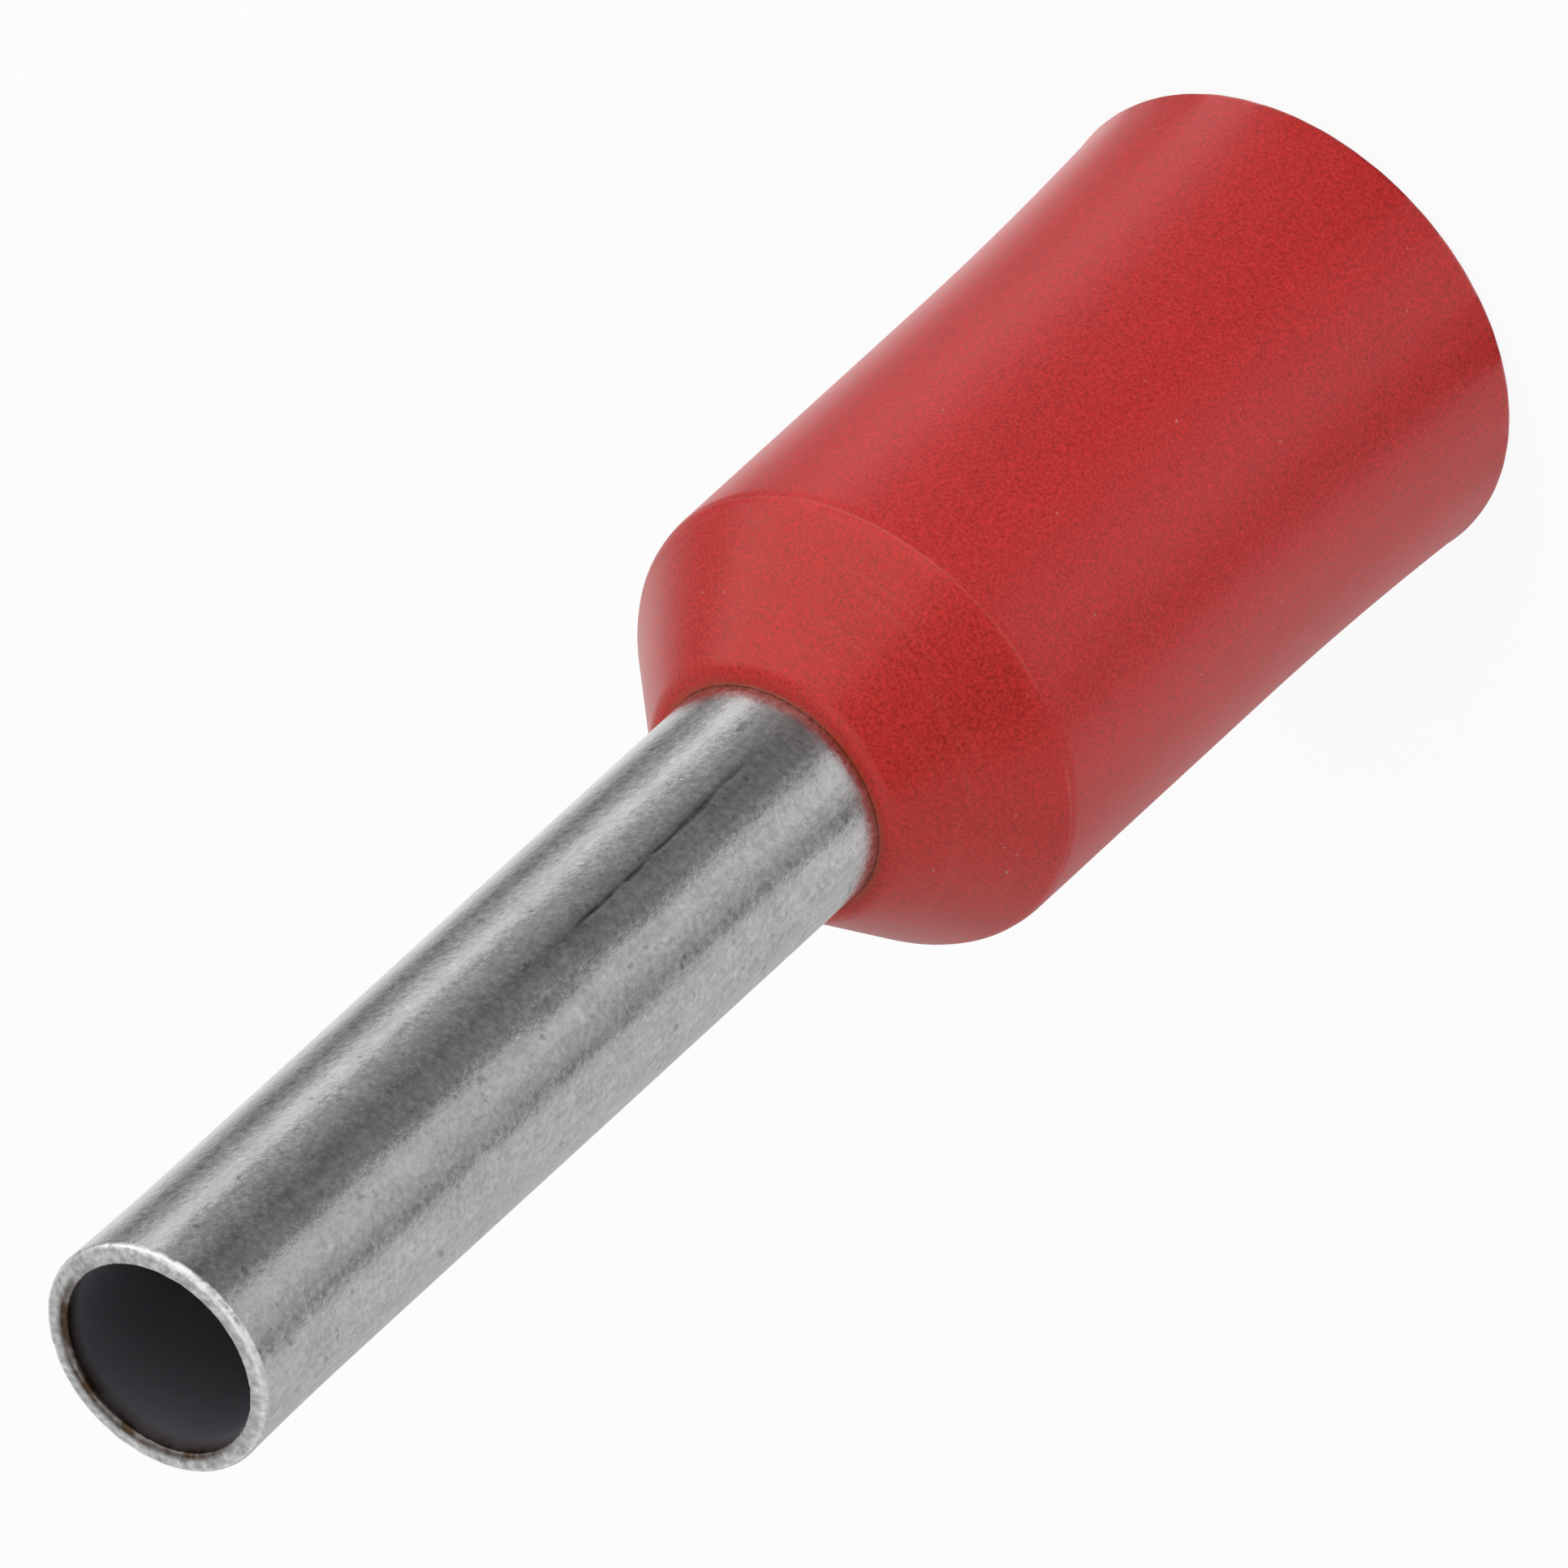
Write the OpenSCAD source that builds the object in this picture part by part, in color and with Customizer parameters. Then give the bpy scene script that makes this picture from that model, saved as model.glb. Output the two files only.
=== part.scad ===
// Insulated wire ferrule: a tinned copper tube in a moulded plastic collar.
// It stands on the collar's open mouth, with its axis along +Z and the tube's tip at the top.
// Both pieces are bodies of revolution. Their sections are drawn in the XY plane: X is the radius, Y the height.

/* [Overall] */
// Length from the collar's mouth to the tube's tip
total_length = 14; // [11:0.1:24]
// Length of the collar
collar_length = 6.45; // [5:0.05:8.5]

/* [Tube] */
// Outside diameter of the tube
tube_d = 1.8; // [1.4:0.05:2.1]
// Wall of the tube
tube_wall = 0.15; // [0.12:0.01:0.25]
// How far the lip at the tip stands out from the tube
lip_swell = 0.02; // [0.005:0.005:0.06]
// Length over which the tube swells to that lip
lip_swell_length = 1.3; // [0.5:0.1:3]
// Radius on the outer edge of the tip
lip_round = 0.05; // [0.03:0.01:0.1]
// Radius on the inner edge of the tip
bore_round = 0.03; // [0.01:0.01:0.06]
// Length of the conical skirt at the tube's rear end, along its slope
skirt_length = 0.4; // [0.2:0.05:0.6]

/* [Collar] */
// Outside diameter of the collar's straight part
collar_d = 3.66; // [3.2:0.02:4.4]
// Wall of the straight part
collar_wall = 0.31; // [0.2:0.01:0.45]
// How far the mouth's outside flares beyond the straight part
mouth_flare = 0.08; // [0.02:0.005:0.2]
// Length over which the collar flares to its mouth
mouth_flare_length = 2.5; // [1:0.1:4]
// Radius on the inner and outer edge of the mouth
rim_round = 0.08; // [0.03:0.01:0.1]
// Length of the conical shoulder along the axis
shoulder_length = 1.02; // [0.7:0.01:1.4]
// Radius where the shoulder turns into the straight part
shoulder_round = 0.25; // [0.1:0.05:0.5]
// Wall of the neck around the tube, at its front face
neck_wall = 0.115; // [0.08:0.005:0.25]
// Radius on the outer edge of the neck's front face
neck_round = 0.18; // [0.02:0.02:0.2]

/* [Seat of the tube in the collar] */
// Length of the neck's bore that grips the tube, from the front face to the turn of the seat
grip_length = 0.3; // [0.2:0.05:0.8]
// Slope of the conical seat and of the tube's skirt, from the axis
seat_angle = 37; // [30:1:45]
// Radius of the turn from the neck's bore into the seat
seat_round = 0.1; // [0.05:0.01:0.2]
// Radial gap between the tube and the collar, 0 where the collar is pressed tight on it
seat_gap = 0; // [0:0.005:0.02]

/* [Hidden] */
$fn = 96;

tube_r = tube_d / 2;
tube_bore_r = tube_r - tube_wall;
collar_r = collar_d / 2;
collar_bore_r = collar_r - collar_wall;
grip_r = tube_r + seat_gap;
neck_r = grip_r + neck_wall;

// The seat's edge turns round this centre, and so does the bend of the tube that lies on it.
turn_r = grip_r + seat_round;
turn_z = collar_length - grip_length;
// From the turn the seat runs down and outwards until it meets the collar's bore.
seat_top_r = turn_r - seat_round * cos(seat_angle);
seat_top_z = turn_z - seat_round * sin(seat_angle);
seat_bottom_z = seat_top_z - (collar_bore_r - seat_top_r) / tan(seat_angle);

function unit(v) = v / norm(v);

// What a rounding of radius r takes off the corner p, between the sides towards a and b.
module corner_waste(p, a, b, r) {
    to_a = unit(a - p);
    to_b = unit(b - p);
    half_angle = acos(to_a * to_b) / 2;
    inwards = unit(to_a + to_b);
    touch = r / tan(half_angle);
    difference() {
        polygon([p + to_a * touch, p - inwards * r, p + to_b * touch]);
        translate(p + inwards * r / sin(half_angle)) circle(r);
    }
}

// What turns the straight side of a block of radius r + swell into an arc, which leaves
// radius r smoothly at height `length` and reaches r + swell at height 0.
module swell_waste(r, swell, length) {
    arc_r = (swell * swell + length * length) / (2 * swell);
    intersection() {
        translate([r, -length]) square([2 * swell, 2 * length]);
        translate([r + arc_r, length]) circle(arc_r, $fn = 1440);
    }
}

// Section of the tube's straight part and its tip, with the lip rounded on both edges.
module tube_section() {
    lip_r = tube_r + lip_swell;
    swell_z = total_length - lip_swell_length;
    inner_edge = [tube_bore_r, total_length];
    outer_edge = [lip_r, total_length];
    difference() {
        polygon([[tube_bore_r, turn_z], [tube_r, turn_z], [tube_r, swell_z],
                 [lip_r, swell_z], outer_edge, inner_edge]);
        translate([0, total_length]) mirror([0, 1]) swell_waste(tube_r, lip_swell, lip_swell_length);
        corner_waste(inner_edge, outer_edge, [tube_bore_r, 0], bore_round);
        corner_waste(outer_edge, inner_edge, [lip_r, 0], lip_round);
    }
}

// Section of the bend and the skirt: the same wall, turned round the seat's edge.
module skirt_section() {
    outer_bend_r = seat_round + seat_gap;
    inner_bend_r = outer_bend_r + tube_wall;
    far = 2 * inner_bend_r;
    translate([turn_r, turn_z]) {
        intersection() {
            difference() {
                circle(inner_bend_r);
                circle(outer_bend_r);
            }
            polygon([[0, 0], [-far, 0], [-far, -far * tan(seat_angle)]]);
        }
        rotate(seat_angle) {
            translate([-inner_bend_r, -skirt_length]) square([tube_wall, skirt_length]);
            translate([-outer_bend_r - tube_wall / 2, -skirt_length]) circle(tube_wall / 2);
        }
    }
}

// Section of the collar: mouth flare, straight wall, shoulder, neck and the seat inside.
module collar_section() {
    mouth_r = collar_r + mouth_flare;
    shoulder_edge = [collar_r, collar_length - shoulder_length];
    neck_edge = [neck_r, collar_length];
    grip_edge = [grip_r, collar_length];
    mouth_inner = [collar_bore_r, 0];
    mouth_outer = [mouth_r, 0];
    difference() {
        union() {
            polygon([mouth_inner, mouth_outer, [mouth_r, mouth_flare_length],
                     [collar_r, mouth_flare_length], shoulder_edge, neck_edge, grip_edge,
                     [grip_r, turn_z], [seat_top_r, seat_top_z], [collar_bore_r, seat_bottom_z]]);
            translate([turn_r, turn_z]) circle(seat_round);
        }
        swell_waste(collar_r, mouth_flare, mouth_flare_length);
        corner_waste(shoulder_edge, neck_edge, [collar_r, 0], shoulder_round);
        corner_waste(neck_edge, shoulder_edge, grip_edge, neck_round);
        corner_waste(mouth_outer, mouth_inner, [mouth_r, 1], rim_round);
        corner_waste(mouth_inner, mouth_outer, [collar_bore_r, 1], rim_round);
    }
}

// Tinned copper tube: rounded lip at the tip, conical skirt seated in the collar.
module barrel() {
    color("#b4b6ba") rotate_extrude() {
        tube_section();
        skirt_section();
    }
}

// Moulded collar that insulates the tube's root and guides the strands into it.
module collar() {
    color("#bf3236") rotate_extrude() collar_section();
}

barrel();
collar();
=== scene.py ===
"""Looks of a wire ferrule: a tinned copper tube in a moulded red collar, standing on the collar's mouth.

Both pieces are turned from their own sections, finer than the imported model, and carry the small marks
that the real ones show: a nicked lip, a drawing scratch, mottled tin, the collar's witness line and grain.
Sections are lists of (radius, height) in millimetres; angles run from -Y, the camera's side, towards +X.
"""
import math

import bpy
import numpy as np
from mathutils import Matrix, Vector


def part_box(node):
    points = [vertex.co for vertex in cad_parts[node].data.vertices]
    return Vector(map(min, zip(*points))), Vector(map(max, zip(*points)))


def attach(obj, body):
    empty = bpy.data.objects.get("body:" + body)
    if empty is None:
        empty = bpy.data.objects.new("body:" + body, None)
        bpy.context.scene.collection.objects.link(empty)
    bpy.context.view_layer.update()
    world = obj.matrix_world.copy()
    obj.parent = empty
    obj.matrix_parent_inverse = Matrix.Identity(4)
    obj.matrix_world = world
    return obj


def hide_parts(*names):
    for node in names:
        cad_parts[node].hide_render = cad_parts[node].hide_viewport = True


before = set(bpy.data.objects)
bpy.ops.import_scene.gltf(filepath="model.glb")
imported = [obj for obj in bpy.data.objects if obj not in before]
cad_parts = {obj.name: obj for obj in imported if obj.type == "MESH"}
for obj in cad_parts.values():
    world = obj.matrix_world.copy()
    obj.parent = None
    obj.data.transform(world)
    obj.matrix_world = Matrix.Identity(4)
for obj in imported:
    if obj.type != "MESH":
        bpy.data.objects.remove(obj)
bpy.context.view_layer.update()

MM = 0.001
SEGMENTS = 384

# ---------------------------------------------------------------- sizes, in mm

TIP_Z = (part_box("barrel")[1] / MM).z
NECK_Z = (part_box("collar")[1] / MM).z
TUBE_R = 0.90
TUBE_WALL = 0.15
LIP_SWELL = 0.02
LIP_SWELL_LENGTH = 1.3
LIP_ROUND = 0.05
BORE_ROUND = 0.03
SKIRT_LENGTH = 0.4

COLLAR_R = 1.83
COLLAR_WALL = 0.31
MOUTH_FLARE = 0.08
MOUTH_FLARE_LENGTH = 2.5
RIM_ROUND = 0.08
SHOULDER_LENGTH = 1.02
SHOULDER_ROUND = 0.25
NECK_WALL = 0.115
NECK_ROUND = 0.18

GRIP_LENGTH = 0.3
SEAT_ANGLE = math.radians(37)
SEAT_ROUND = 0.1
# The tube stays this far off the collar, so that the two meshes never share a surface.
SKIN_GAP = 0.001

BORE_R = TUBE_R - TUBE_WALL

# How much the tube is out of round, the lip's face is uneven, and the mouth's rim waves.
TUBE_WAVE = 0.0012
LIP_WAVE = 0.0012
RIM_WAVE = 0.0015
# The drawing scratch runs down the tube between these heights, and turns by SCRATCH_TURN degrees on the way.
SCRATCH_LOW, SCRATCH_HIGH = 6.95, 10.15
SCRATCH_ANGLE, SCRATCH_TURN = 14.5, 4.5
SCRATCH_DEPTH, SCRATCH_WIDTH = 0.008, 0.026
# Fainter lines beside it: how many degrees aside, their share of its depth, and a seed.
SCRATCH_SIDES = ((-1.9, 0.35, 31), (1.6, 0.30, 32), (-3.4, 0.22, 33))
# A shallow dent that bends the tube's long reflections. Its angle and width are in degrees.
DENT_Z, DENT_DEPTH, DENT_LENGTH = 9.95, 0.011, 0.40
DENT_ANGLE, DENT_WIDTH = 1.5, 7.5
# The tip's opening is worn wide by this much, and off the axis towards an angle at the front left.
OPENING_WEAR, OPENING_SHIFT = 0.012, 0.016
OPENING_TOWARDS = math.radians(-33)
# The lip has many small dents at random, and these nicks of its inner edge: angle, width in degrees, depth.
LIP_DENTS = 70
LIP_NICKS = (
    (-48, 1.2, 0.016),
    (-61, 1.6, 0.012),
    (-74, 1.0, 0.018),
    (-83, 1.4, 0.010),
    (-35, 1.0, 0.008),
    (152, 1.5, 0.010),
    (118, 1.2, 0.008),
)
# The collar's witness line: where on the shoulder's round the mould halves meet, how far it stands out all
# round, and how much further in patches.
WITNESS_ANGLE = 20
WITNESS_RIDGE = 0.002
WITNESS_PATCHES = 0.001


# ---------------------------------------------------------------- section drawing

def line(start, end, step):
    """Points from start up to, and without, end, at most `step` apart."""
    start, end = np.array(start, float), np.array(end, float)
    count = max(1, int(math.ceil(np.linalg.norm(end - start) / step)))
    return [tuple(start + (end - start) * i / count) for i in range(count)]


def arc(centre, radius, first, last, count):
    """Points on an arc, its angles in degrees from the outward direction towards +Z."""
    angles = np.radians(np.linspace(first, last, count + 1))
    return [(centre[0] + radius * math.cos(a), centre[1] + radius * math.sin(a)) for a in angles]


def swell(length, amount, reach):
    """How far a wall stands out, `length` away from its end, where it stands out by `amount`."""
    return amount * max(0.0, 1 - length / reach) ** 2


def barrel_section():
    """The tube's section, once round: up the outside to the lip, down the bore, and round the skirt."""
    lip_r = TUBE_R + LIP_SWELL
    turn_r = TUBE_R + SEAT_ROUND
    turn_z = NECK_Z - GRIP_LENGTH
    seat_deg = math.degrees(SEAT_ANGLE)
    swell_z = TIP_Z - LIP_SWELL_LENGTH
    outside = line((TUBE_R, turn_z), (TUBE_R, SCRATCH_LOW), 0.11)
    outside += line((TUBE_R, SCRATCH_LOW), (TUBE_R, SCRATCH_HIGH), 0.03)
    outside += line((TUBE_R, SCRATCH_HIGH), (TUBE_R, swell_z), 0.11)
    for z in np.linspace(swell_z, TIP_Z - LIP_ROUND, 26)[:-1]:
        outside.append((TUBE_R + swell(TIP_Z - z, LIP_SWELL, LIP_SWELL_LENGTH), z))
    lip_out = arc((lip_r - LIP_ROUND, TIP_Z - LIP_ROUND), LIP_ROUND, 0, 90, 10)
    lip_in = arc((BORE_R + BORE_ROUND, TIP_Z - BORE_ROUND), BORE_ROUND, 90, 180, 8)
    face = line(lip_out[-1], lip_in[0], 0.01)[1:]
    bore = line((BORE_R, TIP_Z - BORE_ROUND - 0.01), (BORE_R, TIP_Z - 0.5), 0.03)
    bore += line((BORE_R, TIP_Z - 0.5), (BORE_R, turn_z), 0.22)
    bend_in = arc((turn_r, turn_z), SEAT_ROUND + TUBE_WALL, 180, 180 + seat_deg, 8)
    slope = np.array([math.sin(SEAT_ANGLE), -math.cos(SEAT_ANGLE)]) * SKIRT_LENGTH
    mid = np.array([-math.cos(SEAT_ANGLE), -math.sin(SEAT_ANGLE)]) * (SEAT_ROUND + TUBE_WALL / 2)
    end_centre = np.array([turn_r, turn_z]) + mid + slope
    skirt_end = arc(end_centre, TUBE_WALL / 2, 180 + seat_deg, 360 + seat_deg, 10)
    bend_out = arc((turn_r, turn_z), SEAT_ROUND, 180 + seat_deg, 180, 6)[:-1]
    return (outside + lip_out + face + lip_in + bore + bend_in
            + line(bend_in[-1], skirt_end[0], 0.1)[1:] + skirt_end
            + line(skirt_end[-1], bend_out[0], 0.1)[1:] + bend_out)


def collar_section():
    """The collar's section, once round: outside from the mouth up to the neck, then down the inside."""
    bore_r = COLLAR_R - COLLAR_WALL
    mouth_r = COLLAR_R + MOUTH_FLARE
    neck_r = TUBE_R + NECK_WALL
    shoulder_z = NECK_Z - SHOULDER_LENGTH
    slope = math.atan2(COLLAR_R - neck_r, SHOULDER_LENGTH)
    slope_deg = math.degrees(slope)
    rim_out = arc((mouth_r - RIM_ROUND, RIM_ROUND), RIM_ROUND, -90, 0, 10)
    outside = []
    for z in np.linspace(RIM_ROUND, MOUTH_FLARE_LENGTH, 30)[1:]:
        outside.append((COLLAR_R + swell(z, MOUTH_FLARE, MOUTH_FLARE_LENGTH), z))
    touch = SHOULDER_ROUND * math.tan(slope / 2)
    round_centre = (COLLAR_R - SHOULDER_ROUND, shoulder_z - touch)
    outside += line((COLLAR_R, MOUTH_FLARE_LENGTH), (COLLAR_R, round_centre[1]), 0.12)[1:]
    # the two mould halves meet on the round, in a ridge
    shoulder = arc(round_centre, SHOULDER_ROUND, 0, WITNESS_ANGLE - 3, 6)
    shoulder += arc(round_centre, SHOULDER_ROUND + WITNESS_RIDGE, WITNESS_ANGLE - 2, WITNESS_ANGLE, 3)
    shoulder += arc(round_centre, SHOULDER_ROUND, WITNESS_ANGLE + 2, slope_deg, 8)
    neck_touch = NECK_ROUND * math.tan((math.pi / 2 - slope) / 2)
    neck_centre = (neck_r - neck_touch, NECK_Z - NECK_ROUND)
    neck_arc = arc(neck_centre, NECK_ROUND, slope_deg, 90, 8)
    cone = line(shoulder[-1], neck_arc[0], 0.03)[1:]
    grip_top = (TUBE_R + SKIN_GAP, NECK_Z)
    neck_face = line(neck_arc[-1], grip_top, 0.02)[1:]
    seat_corner = (TUBE_R + SEAT_ROUND, NECK_Z - GRIP_LENGTH)
    grip = line(grip_top, (TUBE_R + SKIN_GAP, seat_corner[1]), 0.1)
    seat_turn = arc(seat_corner, SEAT_ROUND - SKIN_GAP, 180, 180 + math.degrees(SEAT_ANGLE), 6)
    seat_z = seat_turn[-1][1] - (bore_r - seat_turn[-1][0]) / math.tan(SEAT_ANGLE)
    seat = line(seat_turn[-1], (bore_r, seat_z), 0.1)[1:]
    bore = line((bore_r, seat_z), (bore_r, RIM_ROUND), 0.2)
    rim_in = arc((bore_r + RIM_ROUND, RIM_ROUND), RIM_ROUND, 180, 270, 10)
    mouth_face = line(rim_in[-1], rim_out[0], 0.05)[1:]
    return (rim_out + outside + shoulder + cone + neck_arc + neck_face + grip + seat_turn
            + seat + bore + rim_in + mouth_face)


# ---------------------------------------------------------------- small marks in the meshes

def ripple(angle, z, seed, count, per_turn, per_mm):
    """A smooth random wave over angle and height, mostly between -1.5 and 1.5."""
    rng = np.random.default_rng(seed)
    total = 0.0
    for _ in range(count):
        turns = rng.integers(1, per_turn)
        rise = rng.uniform(-per_mm, per_mm)
        phase = rng.uniform(0, 2 * math.pi)
        total = total + np.cos(turns * angle + rise * z + phase)
    return total / math.sqrt(count)


def bump_at(value, centre, width):
    """1 at the centre, falling to almost 0 at two widths from it."""
    return np.exp(-((value - centre) / width) ** 2)


def angle_gap(angle, centre_deg):
    """Signed angle from a direction, in degrees."""
    return (np.degrees(angle) - centre_deg + 180) % 360 - 180


def barrel_shape(angle, r, z):
    """The drawing scratch, the dent, a worn and dented lip, and a tube that isn't perfectly round."""
    outside = r > TUBE_R - TUBE_WALL / 2
    free = np.clip((z - NECK_Z - 0.1) / 0.4, 0, 1)
    r = r + TUBE_WAVE * ripple(angle, z, seed=3, count=10, per_turn=7, per_mm=0.9) * free
    hollow = bump_at(angle_gap(angle, DENT_ANGLE), 0, DENT_WIDTH) * bump_at(z, DENT_Z, DENT_LENGTH)
    r = r - DENT_DEPTH * hollow * outside
    lip = np.clip((z - (TIP_Z - 0.11)) / 0.08, 0, 1)
    opening = np.clip((TUBE_R - 0.03 - r) / 0.09, 0, 1) * lip
    r = r + opening * (OPENING_WEAR + OPENING_SHIFT * np.cos(angle - OPENING_TOWARDS))
    rng = np.random.default_rng(11)
    dent = 0.0
    for _ in range(LIP_DENTS):
        centre = rng.uniform(-180, 180)
        width = rng.uniform(0.8, 2.2)
        depth = rng.uniform(0.001, 0.0055)
        side = rng.choice([TUBE_R + LIP_SWELL, BORE_R], p=[0.6, 0.4])
        dent = dent + depth * bump_at(angle_gap(angle, centre), 0, width) * bump_at(r, side, 0.035)
    for centre, width, depth in LIP_NICKS:
        dent = dent + depth * bump_at(angle_gap(angle, centre), 0, width) * bump_at(r, BORE_R, 0.04)
    uneven = ripple(angle, 0 * z, seed=5, count=12, per_turn=30, per_mm=0)
    z = z - dent * lip + LIP_WAVE * uneven * lip
    along = np.clip((SCRATCH_HIGH - z) / (SCRATCH_HIGH - SCRATCH_LOW), 0, 1)
    path = SCRATCH_ANGLE + SCRATCH_TURN * along + 0.25 * np.sin(9 * along) + 0.25 * np.sin(47 * along)
    width_deg = math.degrees(SCRATCH_WIDTH / TUBE_R)
    ends = np.interp(along, (0, 0.05, 0.22, 0.32, 0.85, 1), (0, 0.3, 0.35, 1, 0.8, 0))
    fray = ripple(0 * angle, z, seed=8, count=9, per_turn=2, per_mm=40.0)
    ragged = np.clip(0.85 + 0.40 * fray, 0.4, 1)
    scratch = bump_at(angle_gap(angle, 0) - path, 0, width_deg) * ends * ragged * outside
    for aside, share, seed in SCRATCH_SIDES:
        breaks = ripple(0 * angle, z, seed=seed, count=7, per_turn=2, per_mm=9.0)
        broken = np.clip(0.9 * breaks, 0, 1)
        beside = share * bump_at(angle_gap(angle, 0) - path, aside, width_deg * 0.7)
        scratch = scratch + beside * ends * broken * outside
    return r - SCRATCH_DEPTH * scratch, z, scratch


def collar_shape(angle, r, z):
    """The witness line standing out further in patches, and a mouth rim with small waves."""
    outside = r > TUBE_R + NECK_WALL / 2
    shoulder_z = NECK_Z - SHOULDER_LENGTH
    patches = ripple(angle, 0 * z, seed=21, count=9, per_turn=14, per_mm=0)
    patchy = np.clip(0.55 + 0.45 * patches, 0.1, 1)
    touch = SHOULDER_ROUND * math.tan(math.atan2(COLLAR_R - TUBE_R - NECK_WALL, SHOULDER_LENGTH) / 2)
    witness_z = shoulder_z - touch + SHOULDER_ROUND * math.sin(math.radians(WITNESS_ANGLE))
    witness = bump_at(z, witness_z, 0.008) * outside * patchy
    waves = ripple(angle, 0 * z, seed=23, count=14, per_turn=60, per_mm=0)
    rim = bump_at(z, 0.03, 0.06) * outside * waves
    return r + WITNESS_PATCHES * witness + RIM_WAVE * rim, z, witness


# ---------------------------------------------------------------- turning a section into a mesh

def directions(fine_from=0.0, fine_to=0.0, fine_step=0.25):
    """Angles round the axis, closer together over one stretch."""
    angles = np.degrees(np.arange(SEGMENTS) * 2 * math.pi / SEGMENTS)
    if fine_to > fine_from:
        coarse = angles[(angles < fine_from) | (angles > fine_to)]
        angles = np.sort(np.concatenate([coarse, np.arange(fine_from, fine_to + fine_step / 2, fine_step)]))
    return np.radians(angles)


def turn(name, section, angle, shape):
    """Revolves a closed section round Z. shape(angle, r, z) moves the points and gives each one's mark."""
    r, z = np.array(section).T
    angles, rs = np.meshgrid(angle, r, indexing="ij")
    zs = np.broadcast_to(z, rs.shape)
    rs, zs, marks = shape(angles, rs, zs)
    points = np.stack([rs * np.sin(angles), -rs * np.cos(angles), zs], axis=-1).reshape(-1, 3) * MM
    n, m = len(section), len(angle)
    i = np.arange(m)[:, None]
    j = np.arange(n)[None, :]
    i_next, j_next = (i + 1) % m, (j + 1) % n
    corners = [i * n + j, i_next * n + j, i_next * n + j_next, i * n + j_next]
    faces = np.stack(corners, axis=-1).reshape(-1, 4)
    mesh = bpy.data.meshes.new(name)
    mesh.from_pydata(points.tolist(), [], faces.tolist())
    mesh.polygons.foreach_set("use_smooth", [True] * len(mesh.polygons))
    mark = mesh.attributes.new("mark", "FLOAT", "POINT")
    mark.data.foreach_set("value", np.asarray(marks, dtype=np.float32).reshape(-1))
    mesh.update()
    piece = bpy.data.objects.new(name, mesh)
    bpy.context.scene.collection.objects.link(piece)
    return piece


# ---------------------------------------------------------------- materials

# Tin's own grey, and what it is mixed with: dark pits, light specks, the scratch, painted shade down the
# bore, the tarnished inner edge, and the worn outer edge with a painted highlight.
TIN = (0.665, 0.668, 0.67, 1)
TIN_PIT = (0.16, 0.16, 0.17, 1)
TIN_SPECK = (0.95, 0.95, 0.95, 1)
TIN_SCRATCH = (0.06, 0.06, 0.065, 1)
TIN_BORE_SHADE = (0.40, 0.38, 0.42, 1)
TIN_BARE = (0.085, 0.055, 0.036, 1)
TIN_WORN_HIGHLIGHT = (0.93, 0.93, 0.93, 1)
# The plastic's red, its pale turning marks and the witness line's painted highlight, dust, and the darker
# edge at the neck, painted shade where the collar meets the tube. The shoulder's shine is warmer.
RED = (0.53, 0.0192, 0.0170, 1)
RED_PALE_AND_HIGHLIGHT = (0.75, 0.22, 0.16, 1)
RED_DUST = (0.72, 0.40, 0.36, 1)
RED_NECK_SHADE = (0.34, 0.08, 0.03, 1)
SHINE = (1, 1, 1, 1)
SHINE_WARM = (1, 0.95, 0.82, 1)
PLASTIC_IOR = 1.49


class Graph:
    """A material's nodes. A value given for an input is either a constant or another node's socket."""

    def __init__(self, name):
        self.material = bpy.data.materials.new(name)
        self.material.use_nodes = True
        self.nodes = self.material.node_tree.nodes
        self.links = self.material.node_tree.links
        self.bsdf = self.nodes["Principled BSDF"]

    def put(self, socket, value):
        if isinstance(value, bpy.types.NodeSocket):
            self.links.new(value, socket)
        else:
            socket.default_value = value

    def finish(self, inputs):
        for key, value in inputs.items():
            self.put(self.bsdf.inputs[key], value)

    def node(self, kind, inputs, **settings):
        made = self.nodes.new("ShaderNode" + kind)
        for key, value in settings.items():
            setattr(made, key, value)
        for key, value in inputs.items():
            self.put(made.inputs[key], value)
        return made

    def math(self, operation, a, b=0.0):
        return self.node("Math", {0: a, 1: b}, operation=operation).outputs[0]

    def place(self, x, y, z):
        """Object coordinates, scaled on each axis by so many per mm."""
        where = self.node("TexCoord", {}).outputs["Object"]
        return self.node("Mapping", {"Vector": where, "Scale": (x / MM, y / MM, z / MM)}).outputs[0]

    def noise(self, per_mm, detail=2.0, roughness=0.5, along=None):
        """Noise from 0 to 1. along: how many per mm down the axis, if not the same."""
        where = self.place(per_mm, per_mm, per_mm if along is None else along)
        inputs = {"Vector": where, "Scale": 1.0, "Detail": detail, "Roughness": roughness}
        return self.node("TexNoise", inputs).outputs["Fac"]

    def ramp(self, value, low, high, to_low=0.0, to_high=1.0):
        """Runs from to_low to to_high while the value goes from low to high, and stays there."""
        return self.node("MapRange", {"Value": value, "From Min": low, "From Max": high, "To Min": to_low,
                                      "To Max": to_high}).outputs[0]

    def mix(self, share, a, b, blend="MIX"):
        made = self.node("Mix", {0: share, 6: a, 7: b}, data_type="RGBA", blend_type=blend)
        return made.outputs[2]

    def tint(self, colour, factor):
        """A colour made lighter or darker by a factor round 1."""
        grey = self.node("CombineColor", {0: factor, 1: factor, 2: factor}).outputs[0]
        return self.mix(1.0, colour, grey, "MULTIPLY")

    def bump(self, height, depth_mm, onto=None):
        inputs = {"Height": height, "Strength": 1.0, "Distance": depth_mm * MM}
        if onto is not None:
            inputs["Normal"] = onto
        return self.node("Bump", inputs).outputs[0]


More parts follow.
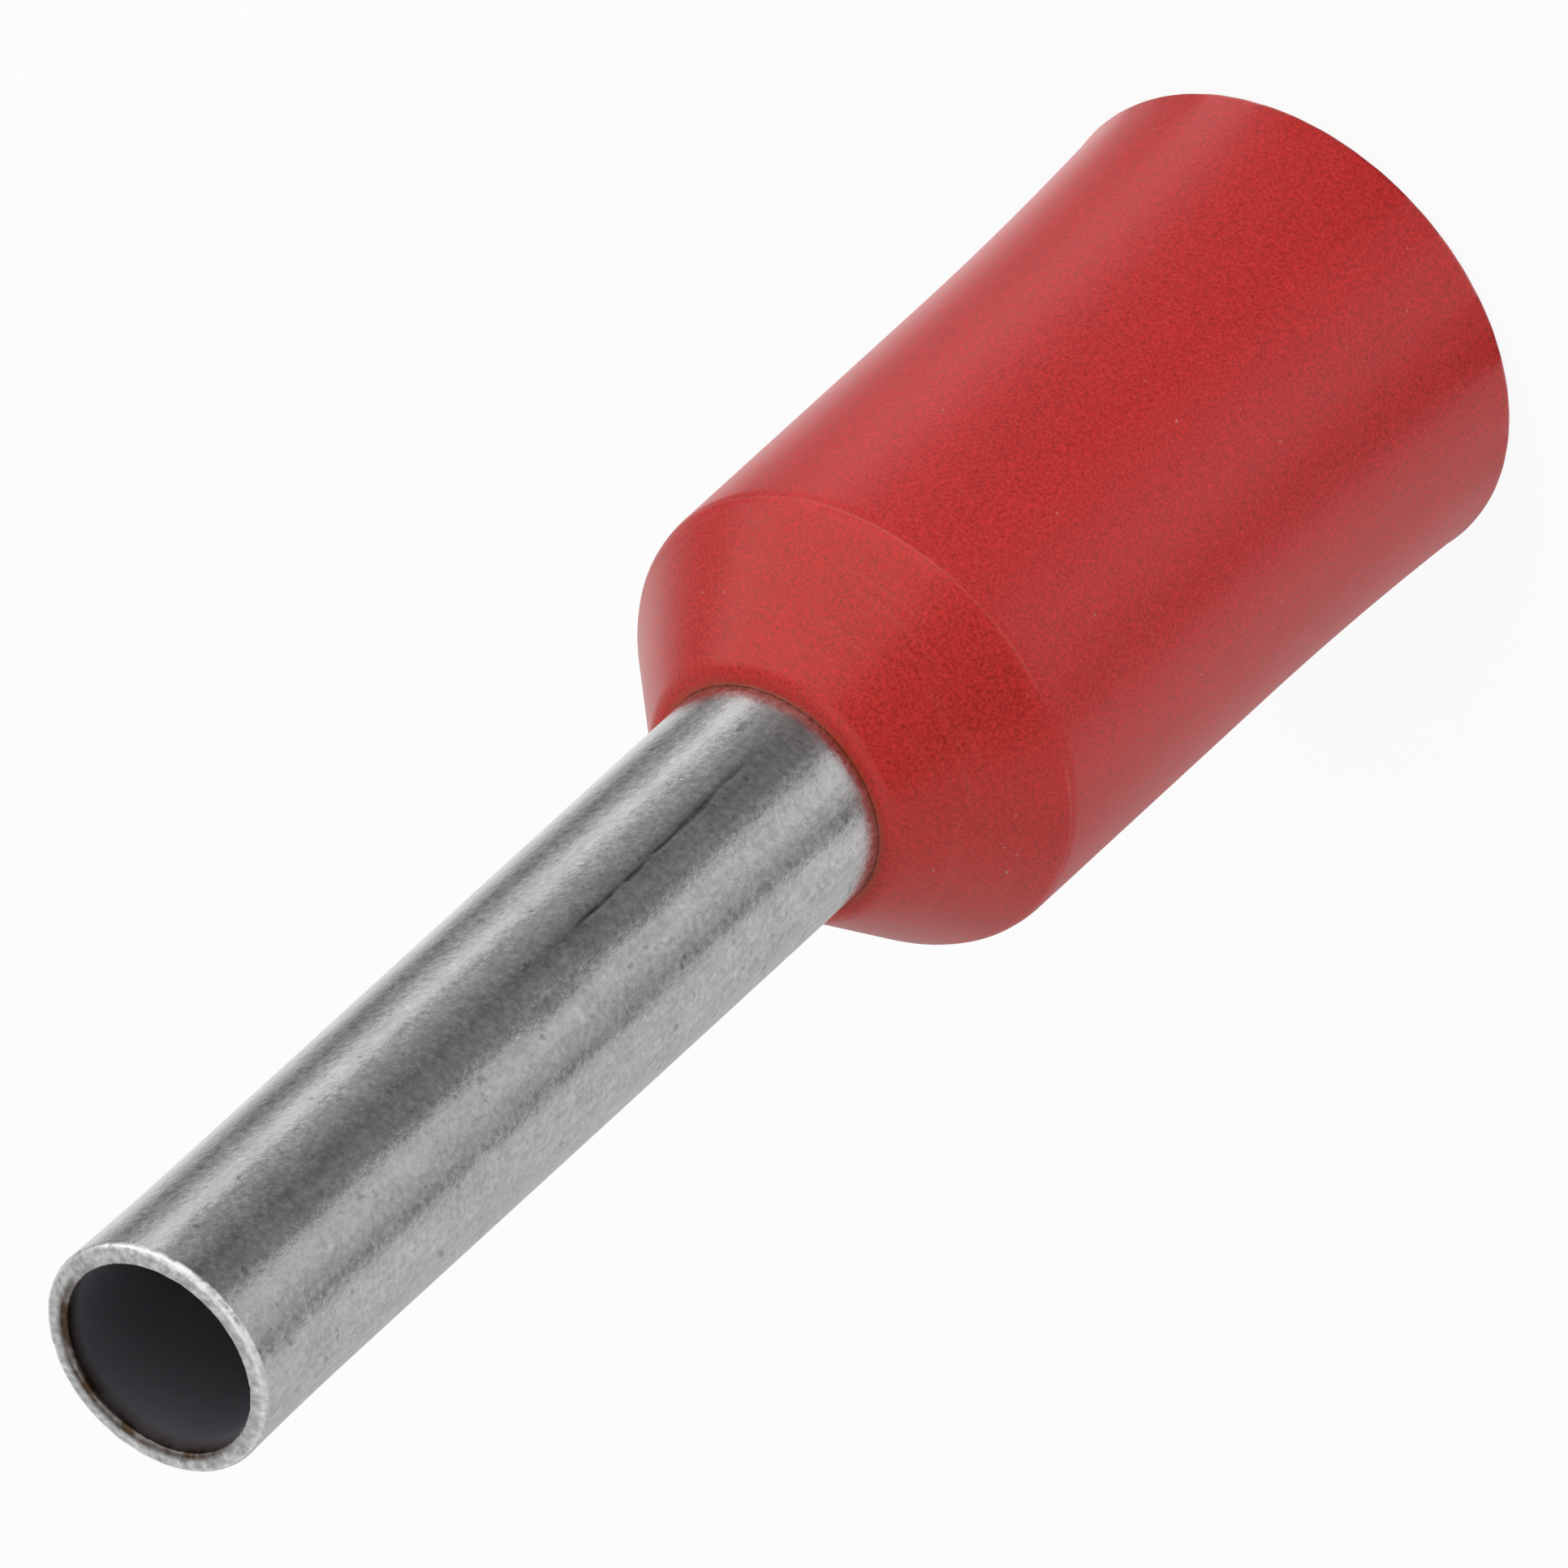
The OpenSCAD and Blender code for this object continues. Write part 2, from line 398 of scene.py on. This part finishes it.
def make_tin():
    """Drawn, tinned copper: a mottled soft shine with fine lines, specks, pits, a worn lip with a painted
    highlight at the front, and painted shade down the bore.
    """
    g = Graph("tin")
    where = g.node("SeparateXYZ", {0: g.place(1, 1, 1)})
    x, y, z = where.outputs
    radius = g.math("SQRT", g.math("ADD", g.math("MULTIPLY", x, x), g.math("MULTIPLY", y, y)))
    mark = g.node("Attribute", {}, attribute_name="mark").outputs["Fac"]
    grain = g.noise(20, 2, 0.7)
    blotch = g.noise(3.6, 2, 0.6)
    lines = g.noise(20, 1, 0.5, along=1.2)
    spots = g.noise(8.5, 2, 0.5)
    pits = g.ramp(spots, 0.325, 0.265)
    specks = g.ramp(spots, 0.68, 0.735)
    tone = g.math("ADD", g.ramp(grain, 0.25, 0.75, 0.76, 1.22), g.ramp(lines, 0.3, 0.7, -0.05, 0.05))
    tone = g.math("ADD", tone, g.ramp(blotch, 0.3, 0.7, -0.07, 0.07))
    colour = g.tint(TIN, tone)
    colour = g.mix(g.math("MULTIPLY", pits, 0.42), colour, TIN_PIT)
    colour = g.mix(g.math("MULTIPLY", specks, 0.5), colour, TIN_SPECK)
    colour = g.mix(g.math("MULTIPLY", mark, 0.85), colour, TIN_SCRATCH)
    # the inner edge is tarnished brown, most of all at the back
    near_tip = g.ramp(z, TIP_Z - 0.16, TIP_Z - 0.05)
    bare = g.math("MULTIPLY", g.ramp(radius, BORE_R + 0.085, BORE_R + 0.04), near_tip)
    bare = g.math("MULTIPLY", bare, g.ramp(g.noise(7, 2, 0.6), 0.34, 0.60, 0.72, 1.0))
    bare = g.math("MULTIPLY", bare, g.ramp(y, -0.3, 0.35, 0.1, 1.0))
    # painted shade: below the lip's face, the bore is painted a darker grey than the tin, and is made
    # rougher and a little less metallic
    below_face = g.ramp(z, TIP_Z - 0.012, TIP_Z - 0.05)
    shaded_bore = g.math("MULTIPLY", g.ramp(radius, BORE_R + 0.075, BORE_R + 0.055), below_face)
    face = g.ramp(z, TIP_Z - 0.03, TIP_Z - 0.01)
    mottle = g.ramp(g.noise(11, 2, 0.7), 0.36, 0.64, 0.78, 1.22)
    colour = g.mix(face, colour, g.tint(colour, mottle))
    colour = g.mix(shaded_bore, colour, TIN_BORE_SHADE)
    colour = g.mix(bare, colour, TIN_BARE)
    # the outer edge is worn matt and painted bright as a highlight, most of all at the front, the camera's
    # side
    on_lip = g.ramp(z, TIP_Z - 0.06, TIP_Z - 0.045)
    worn_highlight = g.math("MULTIPLY", g.ramp(radius, TUBE_R - 0.02, TUBE_R - 0.005), on_lip)
    worn_highlight = g.math("MULTIPLY", worn_highlight, g.ramp(g.noise(13, 2, 0.6), 0.40, 0.58, 0.3, 1.0))
    worn_highlight = g.math("MULTIPLY", worn_highlight, g.ramp(y, -0.55, -0.85, 0.4, 0.95))
    colour = g.mix(worn_highlight, colour, TIN_WORN_HIGHLIGHT)
    rough = g.math("ADD", g.ramp(grain, 0.3, 0.7, 0.20, 0.30), g.math("MULTIPLY", shaded_bore, 0.25))
    rough = g.math("ADD", rough, g.math("MULTIPLY", face, 0.12))
    rough = g.math("ADD", rough, g.math("MULTIPLY", worn_highlight, 0.15))
    metal = g.math("SUBTRACT", 1.0, g.math("MULTIPLY", shaded_bore, 0.09))
    metal = g.math("SUBTRACT", metal, g.math("MULTIPLY", worn_highlight, 0.85))
    height = g.math("ADD", grain, g.math("MULTIPLY", spots, 0.8))
    normal = g.bump(g.noise(2.2, 1, 0.5, along=0.7), 0.010)
    normal = g.bump(height, 0.0028, normal)
    g.finish({"Base Color": colour, "Metallic": metal, "Roughness": rough, "Normal": normal})
    return g.material


def make_plastic():
    """Moulded red polypropylene: fine grain, faint flow marks and pale turning marks, a painted highlight on
    the witness line, pale specks of dust, and painted shade at the neck.
    """
    g = Graph("plastic")
    where = g.node("SeparateXYZ", {0: g.place(1, 1, 1)})
    x, y, z = where.outputs
    radius = g.math("SQRT", g.math("ADD", g.math("MULTIPLY", x, x), g.math("MULTIPLY", y, y)))
    mark = g.node("Attribute", {}, attribute_name="mark").outputs["Fac"]
    grain = g.noise(40, 2, 0.75)
    flow = g.noise(1.3, 2, 0.5, along=0.35)
    spots = g.noise(13, 1, 0.5)
    specks = g.ramp(spots, 0.785, 0.82)
    above_foot = g.ramp(z, NECK_Z - 1.15, NECK_Z - 1.0)
    shoulder = g.math("MULTIPLY", above_foot, g.ramp(z, NECK_Z - 0.15, NECK_Z - 0.35))
    rings = g.math("MULTIPLY", g.ramp(g.noise(1.2, 1, 0.5, along=20), 0.56, 0.70), shoulder)
    tone = g.math("ADD", g.ramp(grain, 0.25, 0.75, 0.58, 1.42), g.ramp(flow, 0.3, 0.7, -0.05, 0.05))
    foot = NECK_Z - SHOULDER_LENGTH
    cone = g.ramp(z, foot - 0.02, foot + 0.10)
    tone = g.math("MULTIPLY", tone, g.math("SUBTRACT", 1.0, g.math("MULTIPLY", cone, 0.09)))
    colour = g.tint(RED, tone)
    # painted highlight: the witness line, taken from the mark, is painted pale along its ridge; the
    # shoulder's turning rings get a faint pale tone of their own
    pale_and_highlight = g.math("MAXIMUM", g.math("MULTIPLY", mark, 0.22), g.math("MULTIPLY", rings, 0.045))
    colour = g.mix(pale_and_highlight, colour, RED_PALE_AND_HIGHLIGHT)
    colour = g.mix(g.math("MULTIPLY", specks, 0.35), colour, RED_DUST)
    # painted shade: the collar is painted a darker brown where its neck meets the tube
    at_neck = g.ramp(z, NECK_Z - 0.05, NECK_Z - 0.01)
    neck_shade = g.math("MULTIPLY", g.ramp(radius, TUBE_R + 0.06, TUBE_R + 0.01), at_neck)
    colour = g.mix(g.math("MULTIPLY", neck_shade, 0.5), colour, RED_NECK_SHADE)
    rough = g.math("SUBTRACT", g.ramp(grain, 0.3, 0.7, 0.33, 0.45), g.math("MULTIPLY", cone, 0.07))
    normal = g.bump(g.noise(1.6, 1, 0.5, along=0.9), 0.008)
    normal = g.bump(grain, 0.0016, normal)
    gloss = g.mix(cone, SHINE, SHINE_WARM)
    g.finish({"Base Color": colour, "Roughness": rough, "Normal": normal, "IOR": PLASTIC_IOR,
              "Specular Tint": gloss})
    return g.material


# The tube's angles are closer together where the scratch runs.
barrel = turn("barrel_tube", barrel_section(), directions(9, 21), barrel_shape)
barrel.data.materials.append(make_tin())
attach(barrel, "root")
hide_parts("barrel")
collar = turn("collar_sleeve", collar_section(), directions(), collar_shape)
collar.data.materials.append(make_plastic())
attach(collar, "root")
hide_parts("collar")

# ---------------------------------------------------------------- camera

CAMERA_ELEVATION = math.radians(40.46)
CAMERA_ROLL = math.radians(-132.457)
# A very long lens, so the lines of sight are nearly parallel. VIEW_WIDTH is what it takes in at the ferrule.
CAMERA_LENS = 1500.0
SENSOR = 36
VIEW_WIDTH = 10.908 * MM
AIM = Vector((0.0035, 0, 6.290)) * MM


def make_camera():
    back = Vector((0, -math.cos(CAMERA_ELEVATION), math.sin(CAMERA_ELEVATION)))
    right = Vector((1, 0, 0))
    up = back.cross(right)
    c, s = math.cos(CAMERA_ROLL), math.sin(CAMERA_ROLL)
    right, up = right * c + up * s, up * c - right * s
    data = bpy.data.cameras.new("camera")
    data.sensor_width = SENSOR
    data.lens = CAMERA_LENS
    distance = VIEW_WIDTH * CAMERA_LENS / SENSOR
    data.clip_start, data.clip_end = distance * 0.05, distance * 20
    camera = bpy.data.objects.new("camera", data)
    bpy.context.scene.collection.objects.link(camera)
    rotation = Matrix((right, up, back)).transposed().to_4x4()
    camera.matrix_world = Matrix.Translation(AIM + back * distance) @ rotation
    bpy.context.scene.camera = camera


make_camera()

# ---------------------------------------------------------------- floor, world, lamps and cards

# Sizes and heights in mm. The floor lies a hair under the ferrule, and the cards a hair over the floor.
FLOOR_HALF = 400
FLOOR_Z = -0.002
FLOOR_PAPER = (0.9, 0.9, 0.9, 1)
# The floor's share of plain white, as the camera and reflections see it; the rest keeps the shadow.
FLOOR_WHITE = 0.91
WORLD_LIGHT = 0.65
LAMP_AIM_Z = 6
CARD_Z = 0.01
CARD_REACH = 180
NEAR_FROM, NEAR_TO, FAR_FROM = 0.02, 6.9, 7.3


def is_ray(nodes, *kinds):
    """A socket that is 1 for the named kinds of ray."""
    path = nodes.new("ShaderNodeLightPath")
    out = path.outputs[kinds[0]]
    for kind in kinds[1:]:
        either = nodes.new("ShaderNodeMath")
        either.operation = "MAXIMUM"
        nodes.id_data.links.new(out, either.inputs[0])
        nodes.id_data.links.new(path.outputs[kind], either.inputs[1])
        out = either.outputs[0]
    return out


def make_world():
    world = bpy.data.worlds.new("studio")
    world.use_nodes = True
    bpy.context.scene.world = world
    nodes, links = world.node_tree.nodes, world.node_tree.links
    nodes.clear()
    light, white, mix, out = (nodes.new(k) for k in ("ShaderNodeBackground", "ShaderNodeBackground",
                                                     "ShaderNodeMixShader", "ShaderNodeOutputWorld"))
    light.inputs["Color"].default_value = (1, 1, 1, 1)
    light.inputs["Strength"].default_value = WORLD_LIGHT
    white.inputs["Strength"].default_value = 1.0
    white.inputs["Color"].default_value = (1, 1, 1, 1)
    links.new(is_ray(nodes, "Is Camera Ray", "Is Glossy Ray", "Is Transmission Ray"), mix.inputs[0])
    links.new(light.outputs[0], mix.inputs[1])
    links.new(white.outputs[0], mix.inputs[2])
    links.new(mix.outputs[0], out.inputs["Surface"])


def make_floor():
    half, z = FLOOR_HALF * MM, FLOOR_Z * MM
    corners = [(-half, -half, z), (half, -half, z), (half, half, z), (-half, half, z)]
    mesh = bpy.data.meshes.new("floor")
    mesh.from_pydata(corners, [], [(0, 1, 2, 3)])
    floor = bpy.data.objects.new("floor", mesh)
    bpy.context.scene.collection.objects.link(floor)
    material = bpy.data.materials.new("floor")
    material.use_nodes = True
    nodes, links = material.node_tree.nodes, material.node_tree.links
    nodes.clear()
    paper, glow, mix, out = (nodes.new(k) for k in ("ShaderNodeBsdfDiffuse", "ShaderNodeEmission",
                                                    "ShaderNodeMixShader", "ShaderNodeOutputMaterial"))
    paper.inputs["Color"].default_value = FLOOR_PAPER
    glow.inputs["Strength"].default_value = 1.0
    share = nodes.new("ShaderNodeMath")
    share.operation = "MULTIPLY"
    share.inputs[1].default_value = FLOOR_WHITE
    links.new(is_ray(nodes, "Is Camera Ray", "Is Glossy Ray", "Is Transmission Ray"), share.inputs[0])
    links.new(share.outputs[0], mix.inputs[0])
    links.new(paper.outputs[0], mix.inputs[1])
    links.new(glow.outputs[0], mix.inputs[2])
    links.new(mix.outputs[0], out.inputs["Surface"])
    mesh.materials.append(material)


def lamp(name, azimuth, elevation, distance, size, strength):
    """A soft square lamp, aimed at the axis a little below the middle. Azimuth is from -Y towards +X."""
    a, e = math.radians(azimuth), math.radians(elevation)
    towards = Vector((math.sin(a) * math.cos(e), -math.cos(a) * math.cos(e), math.sin(e)))
    data = bpy.data.lights.new(name, "AREA")
    data.shape = "SQUARE"
    data.size = size * MM
    data.energy = strength * (size * MM) ** 2 * math.pi
    light = bpy.data.objects.new(name, data)
    light.location = Vector((0, 0, LAMP_AIM_Z * MM)) + towards * distance * MM
    light.rotation_mode = "QUATERNION"
    light.rotation_quaternion = towards.to_track_quat("Z", "Y")
    light.visible_camera = False
    light.visible_glossy = False
    bpy.context.scene.collection.objects.link(light)


def hang(name, points, faces, strength):
    """A white glowing card that only reflections see. A strength of 1 is white."""
    mesh = bpy.data.meshes.new(name)
    mesh.from_pydata(points, [], faces)
    piece = bpy.data.objects.new(name, mesh)
    bpy.context.scene.collection.objects.link(piece)
    material = bpy.data.materials.new(name)
    material.use_nodes = True
    nodes, links = material.node_tree.nodes, material.node_tree.links
    nodes.clear()
    glow, out = nodes.new("ShaderNodeEmission"), nodes.new("ShaderNodeOutputMaterial")
    glow.inputs["Color"].default_value = (1, 1, 1, 1)
    glow.inputs["Strength"].default_value = strength
    links.new(glow.outputs[0], out.inputs["Surface"])
    material.cycles.emission_sampling = "NONE"
    mesh.materials.append(material)
    for kind in ("camera", "diffuse", "transmission", "volume_scatter", "shadow"):
        setattr(piece, "visible_" + kind, False)


def card(name, first, last, foot, nearest, farthest, height, strength):
    """A card on the floor, in the strips that an upright cylinder mirrors to the camera.

    What the cylinder, of radius foot, mirrors from the azimuth a leaves its surface at the azimuth a / 2
    and runs straight off towards a. So a card cut to such lines shows as a straight band all the way up.
    """
    steps = max(2, int(abs(last - first) / 3))
    angles = np.radians(np.linspace(first, last, steps + 1))
    points = []
    for a in angles:
        for run in (nearest, farthest):
            x = foot * math.sin(a / 2) + run * math.sin(a)
            y = -(foot * math.cos(a / 2) + run * math.cos(a))
            points.append((x * MM, y * MM, height * MM))
    faces = [(2 * i, 2 * i + 1, 2 * i + 3, 2 * i + 2) for i in range(steps)]
    hang(name, points, faces, strength)


def wall(name, first, last, low_deg, high_deg, strength):
    """A card curved round the set, between two azimuths and two elevations."""
    across = max(2, int((last - first) / 6))
    up = max(2, int((high_deg - low_deg) / 6))
    azimuths = np.radians(np.linspace(first, last, across + 1))
    elevations = np.radians(np.linspace(low_deg, high_deg, up + 1))
    reach = CARD_REACH * MM
    points = [(reach * math.cos(e) * math.sin(a), -reach * math.cos(e) * math.cos(a), reach * math.sin(e))
              for a in azimuths for e in elevations]
    n = up + 1
    faces = [(i * n + j, (i + 1) * n + j, (i + 1) * n + j + 1, i * n + j + 1)
             for i in range(across) for j in range(up)]
    hang(name, points, faces, strength)


make_world()
make_floor()
lamp("key_lamp", azimuth=44, elevation=35, distance=70, size=60, strength=1.6)
# Cards on the floor round the ferrule: first and last azimuth that is mirrored, brightness.
# The far ones make the tube's long bands.
FAR_CARDS = (
    ("card_back_right", 145, 180, 0.95),
    ("grey_back_right", 130, 145, 0.55),
    ("flag_right", 115, 130, 0.16),
    ("edge_right", 105, 115, 0.32),
    ("grey_right", 95, 105, 0.45),
    ("card_right", 75, 95, 0.90),
    ("grey_front_right", 55, 75, 0.35),
    ("grey_front", 40, 55, 0.24),
    ("flag_front", 25, 40, 0.14),
    ("dark_front", -5, 25, 0.20),
    ("card_front", -35, -5, 0.60),
    ("grey_front_left", -55, -35, 0.45),
    ("flag_left", -65, -55, 0.15),
    ("card_left", -115, -65, 0.60),
    ("card_back_left", -180, -115, 0.55),
)
# The near ones make the collar's.
NEAR_CARDS = (
    ("near_back_right", 145, 180, 1.5),
    ("near_side_right", 130, 145, 0.75),
    ("near_flag_right", 105, 130, 0.45),
    ("near_right", 80, 105, 1.15),
    ("near_grey_right", 65, 80, 0.55),
    ("near_flag_front", 35, 65, 0.25),
    ("near_dark_front", 5, 35, 0.12),
    ("near_grey_front", -15, 5, 0.5),
    ("near_front", -45, -15, 0.95),
    ("near_grey_left", -60, -45, 0.4),
    ("near_flag_left", -75, -60, 0.15),
    ("near_left", -110, -75, 0.9),
    ("near_side_left", -145, -110, 0.7),
    ("near_back_left", -180, -145, 0.6),
)
# Walls and ceiling, which the shoulder and the lip mirror: first and last azimuth, lowest and highest
# elevation, brightness.
WALL_CARDS = (
    ("wall_front_low", -60, -20, 0, 26, 0.20),
    ("wall_front_right", -20, 18, 0, 26, 0.04),
    ("wall_front", -60, 18, 26, 48, 0.03),
    ("wall_front_left_high", -60, -20, 48, 62, 0.5),
    ("wall_front_high", -20, 48, 48, 62, 1.6),
    ("wall_right", 18, 112, 0, 38, 1.6),
    ("wall_right_mid", 18, 112, 38, 48, 0.4),
    ("wall_right_high", 48, 112, 48, 62, 0.4),
    ("wall_left", -135, -60, 0, 62, 0.75),
    ("wall_side_right", 112, 135, 0, 62, 0.4),
    ("wall_back_low", 135, 225, 0, 22, 0.8),
    ("wall_back", 135, 225, 22, 62, 0.58),
    ("ceiling", 0, 360, 62, 89, 0.95),
)
for card_name, first, last, strength in FAR_CARDS:
    card(card_name, first, last, TUBE_R, FAR_FROM, CARD_REACH, 2 * CARD_Z, strength)
for card_name, first, last, strength in NEAR_CARDS:
    card(card_name, first, last, COLLAR_R, NEAR_FROM, NEAR_TO, CARD_Z, strength)
for card_name, first, last, low_deg, high_deg, strength in WALL_CARDS:
    wall(card_name, first, last, low_deg, high_deg, strength)

bpy.context.scene.view_settings.view_transform = "Standard"
